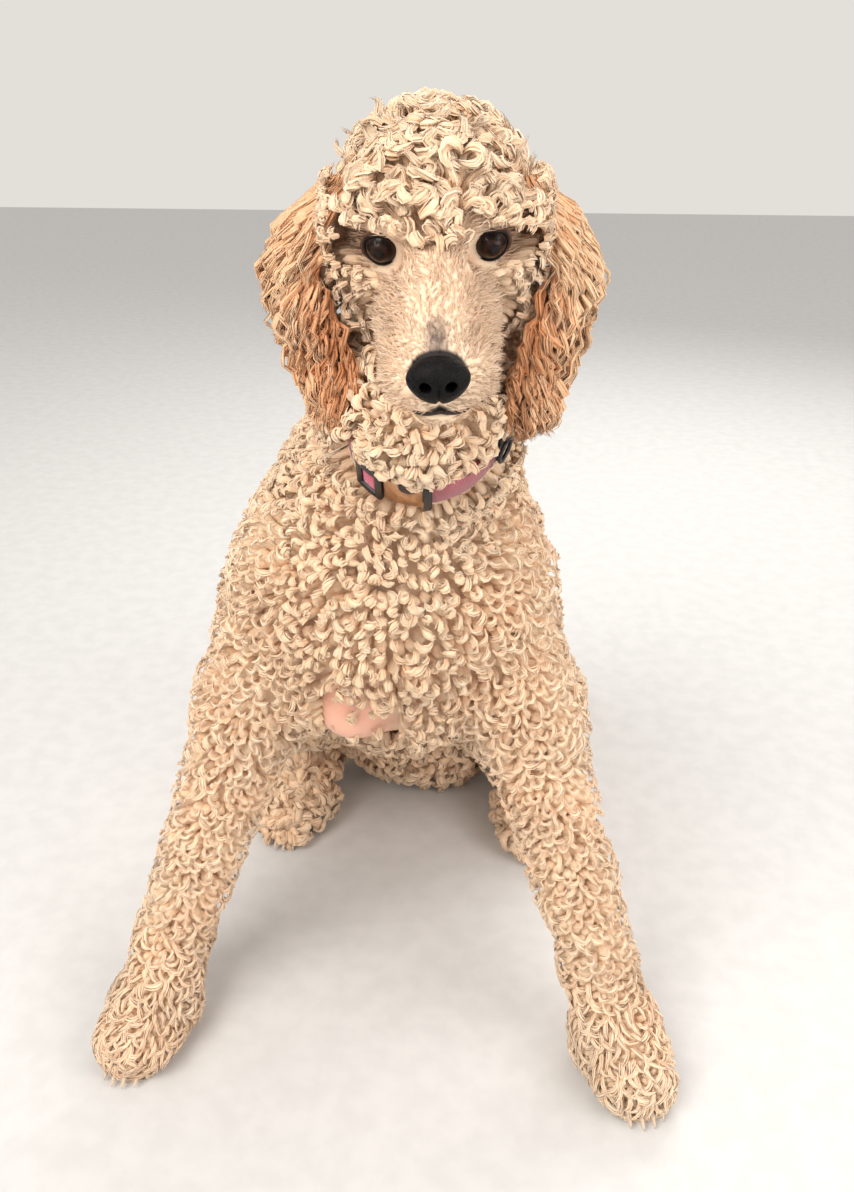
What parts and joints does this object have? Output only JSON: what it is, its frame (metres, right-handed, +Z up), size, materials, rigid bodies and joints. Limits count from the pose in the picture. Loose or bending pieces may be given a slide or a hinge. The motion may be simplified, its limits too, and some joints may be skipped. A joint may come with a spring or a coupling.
{
  "type": "sitting standard poodle figure",
  "caption": "Life-size dog in a tightly curled coat, sitting upright on braced, splayed forelegs, with long hanging ears and a collar round its neck.",
  "frame": {"origin": "on the floor, at the middle of the flat under the dog's seat", "axes": "+Z up, -Y the way the dog faces, +X to the dog's own left"},
  "size_m": [0.4734, 0.7346, 0.7619],
  "materials": {
    "coat": "matte curly hair, cream to pale apricot",
    "ear_coat": "matte long wavy hair, apricot",
    "eye": "wet, dark brown",
    "nose": "damp black",
    "webbing": "dusty pink woven nylon",
    "webbing_bright": "bright pink woven nylon",
    "buckle_plastic": "satin black",
    "name_plate": "brushed, copper-coloured, bare"
  },
  "bodies": {
    "root": {"head": "coat", "neck": "coat", "chest": "coat", "rump": "coat", "foreleg_left": "coat", "foreleg_right": "coat", "hind_leg_left": "coat", "hind_leg_right": "coat", "tail": "coat", "ear_left": "ear_coat", "ear_right": "ear_coat", "eye_left": "eye", "eye_right": "eye", "nose": "nose", "collar_band": "webbing", "collar_webbing": "webbing_bright", "collar_slider": "buckle_plastic", "collar_release": "buckle_plastic", "collar_buckle": "buckle_plastic", "collar_keeper": "buckle_plastic", "collar_ring": "buckle_plastic", "collar_plate": "name_plate"}
  },
  "joints": []
}
